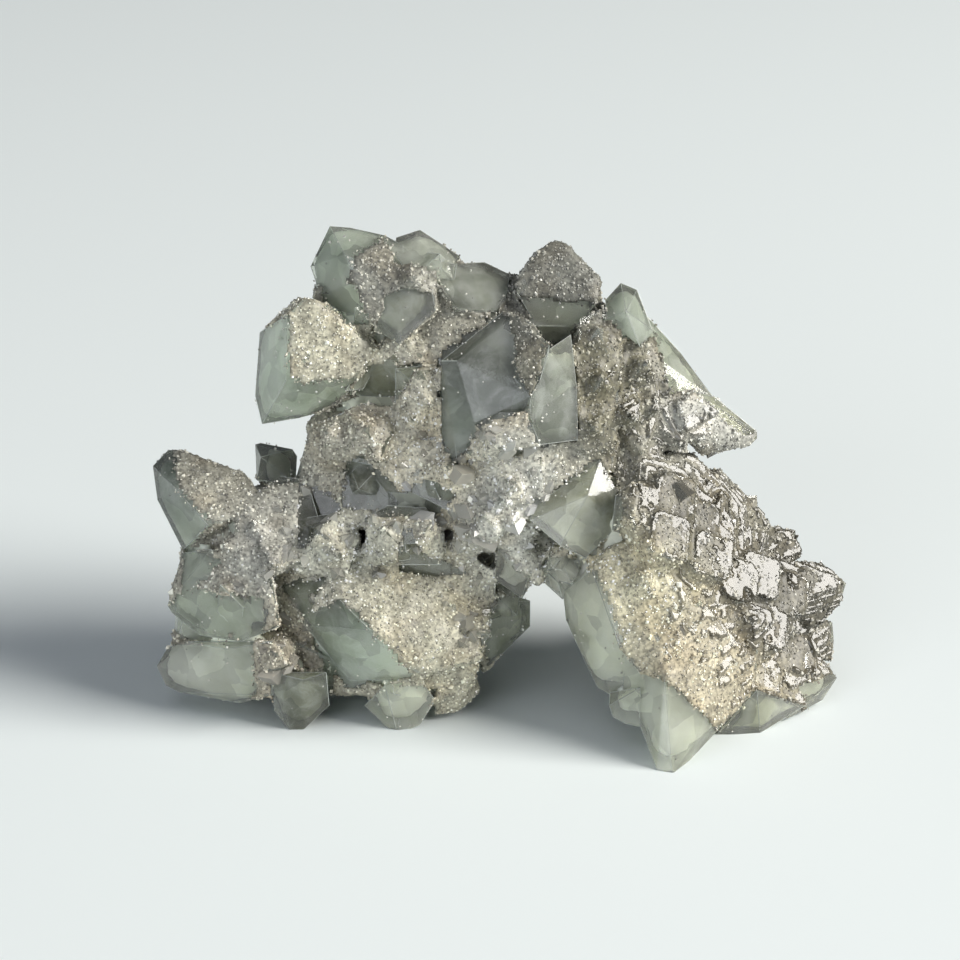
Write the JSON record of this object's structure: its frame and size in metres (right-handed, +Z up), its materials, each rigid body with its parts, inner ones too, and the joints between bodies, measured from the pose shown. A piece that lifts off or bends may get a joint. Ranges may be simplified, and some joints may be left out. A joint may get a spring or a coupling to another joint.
{
  "type": "apophyllite specimen",
  "caption": "Cluster of intergrown grey-green clear crystals with a sparkling cream sugar crust, in the shape of a low arch that stands on its own crystal tips.",
  "frame": {"origin": "middle of the footprint, on the surface that it stands on", "axes": "+Z up, -Y towards the side seen in the picture, +X to the right of that view"},
  "size_m": [0.0888, 0.0474, 0.0603],
  "materials": {
    "apophyllite": "clear grey-green glassy crystal, partly under a matt cream to golden sugar crust"
  },
  "bodies": {
    "root": {"apophyllite_cluster": "apophyllite"}
  },
  "joints": []
}
